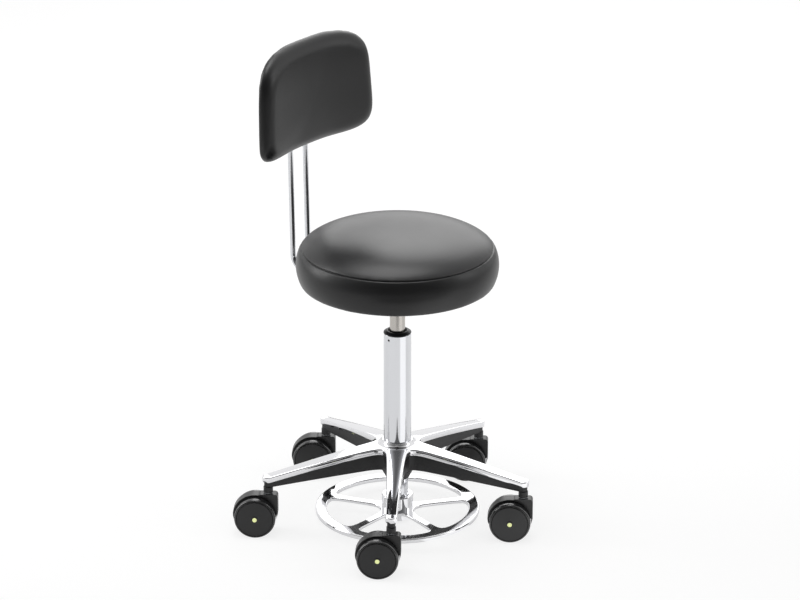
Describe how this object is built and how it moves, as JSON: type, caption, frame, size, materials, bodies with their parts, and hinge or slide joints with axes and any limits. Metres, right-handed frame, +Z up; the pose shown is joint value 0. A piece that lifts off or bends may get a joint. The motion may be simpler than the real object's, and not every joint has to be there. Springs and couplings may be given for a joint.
{
  "type": "surgeon stool",
  "caption": "Height-adjustable surgeon stool with a round padded seat, a curved back pad on two rods, a star base on twin-wheel casters and a foot ring that releases the gas spring.",
  "frame": {"origin": "On the floor under the column's axis.", "axes": "+Z is up. The sitter faces -Y and the back pad stands at +Y. +X is to the sitter's left."},
  "size_m": [0.5203, 0.5472, 0.8738],
  "materials": {
    "polished_aluminium": "polished casting",
    "chromed_steel": "bright chrome plating",
    "ground_steel": "ground",
    "black_plastic": "satin moulding",
    "black_coated_steel": "black powder coat",
    "black_vinyl": "smooth satin upholstery vinyl",
    "plywood": "plywood stained black",
    "yellow_green_mark": "yellow-green end caps on the axle"
  },
  "bodies": {
    "stand": {"star_base": "polished_aluminium", "column_tube": "chromed_steel", "guide_bush": "black_plastic", "bearing_race_lower": "ground_steel", "ball_ring": "ground_steel", "release_sleeve": "chromed_steel", "sleeve_cap": "black_plastic", "lever_pivot": "ground_steel", "caster_1_stem": "ground_steel", "caster_2_stem": "ground_steel", "caster_3_stem": "ground_steel", "caster_4_stem": "ground_steel", "caster_5_stem": "ground_steel"},
    "spindle": {"piston_rod": "chromed_steel", "piston": "ground_steel", "bearing_race_upper": "ground_steel", "rod_clip": "ground_steel"},
    "seat": {"gas_cylinder": "ground_steel", "rod_guide": "black_plastic", "seat_plate": "black_coated_steel", "seat_screw_1": "black_coated_steel", "seat_screw_2": "black_coated_steel", "seat_screw_3": "black_coated_steel", "seat_screw_4": "black_coated_steel", "seat_board": "plywood", "seat_cushion": "black_vinyl", "rod_bracket": "black_coated_steel", "clamp_plate": "black_coated_steel"},
    "knob": {"clamp_knob": "black_plastic"},
    "back_frame": {"back_rods": "chromed_steel"},
    "back_pad": {"back_guide": "black_plastic", "back_screw_upper": "ground_steel", "back_screw_lower": "ground_steel", "back_board": "black_plastic", "back_cushion": "black_vinyl"},
    "foot_ring": {"foot_ring": "polished_aluminium"},
    "lever": {"release_lever": "ground_steel"},
    "valve_pin": {"release_pin": "ground_steel"},
    "caster_1": {"caster_1_hood": "black_plastic", "caster_1_axle": "yellow_green_mark"},
    "caster_1_wheel_a": {"caster_1_wheel_a": "black_plastic"},
    "caster_1_wheel_b": {"caster_1_wheel_b": "black_plastic"},
    "caster_2": {"caster_2_hood": "black_plastic", "caster_2_axle": "yellow_green_mark"},
    "caster_2_wheel_a": {"caster_2_wheel_a": "black_plastic"},
    "caster_2_wheel_b": {"caster_2_wheel_b": "black_plastic"},
    "caster_3": {"caster_3_hood": "black_plastic", "caster_3_axle": "yellow_green_mark"},
    "caster_3_wheel_a": {"caster_3_wheel_a": "black_plastic"},
    "caster_3_wheel_b": {"caster_3_wheel_b": "black_plastic"},
    "caster_4": {"caster_4_hood": "black_plastic", "caster_4_axle": "yellow_green_mark"},
    "caster_4_wheel_a": {"caster_4_wheel_a": "black_plastic"},
    "caster_4_wheel_b": {"caster_4_wheel_b": "black_plastic"},
    "caster_5": {"caster_5_hood": "black_plastic", "caster_5_axle": "yellow_green_mark"},
    "caster_5_wheel_a": {"caster_5_wheel_a": "black_plastic"},
    "caster_5_wheel_b": {"caster_5_wheel_b": "black_plastic"}
  },
  "joints": [
    {"name": "seat_swivel", "type": "hinge", "parent": "stand", "child": "spindle", "pos_m": [0, 0, 0.116], "axis": [0, 0, 1], "continuous": true},
    {"name": "seat_height", "type": "slide", "parent": "spindle", "child": "seat", "axis": [0, 0, 1], "range_m": [0, 0.19]},
    {"name": "clamp_knob_turn", "type": "hinge", "parent": "seat", "child": "knob", "pos_m": [0, 0.131, 0.42], "axis": [0, 0, 1], "continuous": true},
    {"name": "back_depth", "type": "slide", "parent": "seat", "child": "back_frame", "axis": [0, 1, 0], "range_m": [-0.01, 0.035]},
    {"name": "back_height", "type": "slide", "parent": "back_frame", "child": "back_pad", "axis": [0, 0.0209, 0.9998], "range_m": [-0.03, 0.035]},
    {"name": "foot_ring_press", "type": "slide", "parent": "stand", "child": "foot_ring", "axis": [0, 0, 1], "range_m": [-0.003, 0], "stiffness_N_per_m": 3000, "springref_m": 0.01},
    {"name": "release_lever_rock", "type": "hinge", "parent": "stand", "child": "lever", "pos_m": [0.011, 0, 0.0385], "axis": [0, 1, 0], "range_deg": [0, 15]},
    {"name": "release_pin_lift", "type": "slide", "parent": "stand", "child": "valve_pin", "axis": [0, 0, 1], "range_m": [0, 0.0036]},
    {"name": "caster_1_swivel", "type": "hinge", "parent": "stand", "child": "caster_1", "pos_m": [0.242, 0, 0.0797], "axis": [0, 0, 1], "continuous": true},
    {"name": "caster_1_wheel_a_spin", "type": "hinge", "parent": "caster_1", "child": "caster_1_wheel_a", "pos_m": [0.22815, 0.01899, 0.0375], "axis": [-0.808, -0.5892, 0], "continuous": true},
    {"name": "caster_1_wheel_b_spin", "type": "hinge", "parent": "caster_1", "child": "caster_1_wheel_b", "pos_m": [0.22815, 0.01899, 0.0375], "axis": [-0.808, -0.5892, 0], "continuous": true},
    {"name": "caster_2_swivel", "type": "hinge", "parent": "stand", "child": "caster_2", "pos_m": [0.07478, 0.23016, 0.0797], "axis": [0, 0, 1], "continuous": true},
    {"name": "caster_2_wheel_a_spin", "type": "hinge", "parent": "caster_2", "child": "caster_2_wheel_a", "pos_m": [0.06094, 0.24914, 0.0375], "axis": [-0.808, -0.5892, 0], "continuous": true},
    {"name": "caster_2_wheel_b_spin", "type": "hinge", "parent": "caster_2", "child": "caster_2_wheel_b", "pos_m": [0.06094, 0.24914, 0.0375], "axis": [-0.808, -0.5892, 0], "continuous": true},
    {"name": "caster_3_swivel", "type": "hinge", "parent": "stand", "child": "caster_3", "pos_m": [-0.19578, 0.14224, 0.0797], "axis": [0, 0, 1], "continuous": true},
    {"name": "caster_3_wheel_a_spin", "type": "hinge", "parent": "caster_3", "child": "caster_3_wheel_a", "pos_m": [-0.20963, 0.16123, 0.0375], "axis": [-0.808, -0.5892, 0], "continuous": true},
    {"name": "caster_3_wheel_b_spin", "type": "hinge", "parent": "caster_3", "child": "caster_3_wheel_b", "pos_m": [-0.20963, 0.16123, 0.0375], "axis": [-0.808, -0.5892, 0], "continuous": true},
    {"name": "caster_4_swivel", "type": "hinge", "parent": "stand", "child": "caster_4", "pos_m": [-0.19578, -0.14224, 0.0797], "axis": [0, 0, 1], "continuous": true},
    {"name": "caster_4_wheel_a_spin", "type": "hinge", "parent": "caster_4", "child": "caster_4_wheel_a", "pos_m": [-0.20963, -0.12326, 0.0375], "axis": [-0.808, -0.5892, 0], "continuous": true},
    {"name": "caster_4_wheel_b_spin", "type": "hinge", "parent": "caster_4", "child": "caster_4_wheel_b", "pos_m": [-0.20963, -0.12326, 0.0375], "axis": [-0.808, -0.5892, 0], "continuous": true},
    {"name": "caster_5_swivel", "type": "hinge", "parent": "stand", "child": "caster_5", "pos_m": [0.07478, -0.23016, 0.0797], "axis": [0, 0, 1], "continuous": true},
    {"name": "caster_5_wheel_a_spin", "type": "hinge", "parent": "caster_5", "child": "caster_5_wheel_a", "pos_m": [0.06094, -0.21117, 0.0375], "axis": [-0.808, -0.5892, 0], "continuous": true},
    {"name": "caster_5_wheel_b_spin", "type": "hinge", "parent": "caster_5", "child": "caster_5_wheel_b", "pos_m": [0.06094, -0.21117, 0.0375], "axis": [-0.808, -0.5892, 0], "continuous": true}
  ],
  "couplings": [
    {"joint": "release_lever_rock", "follows": "foot_ring_press", "rad_per_m": -85},
    {"joint": "release_pin_lift", "follows": "foot_ring_press", "ratio": -1.2}
  ]
}
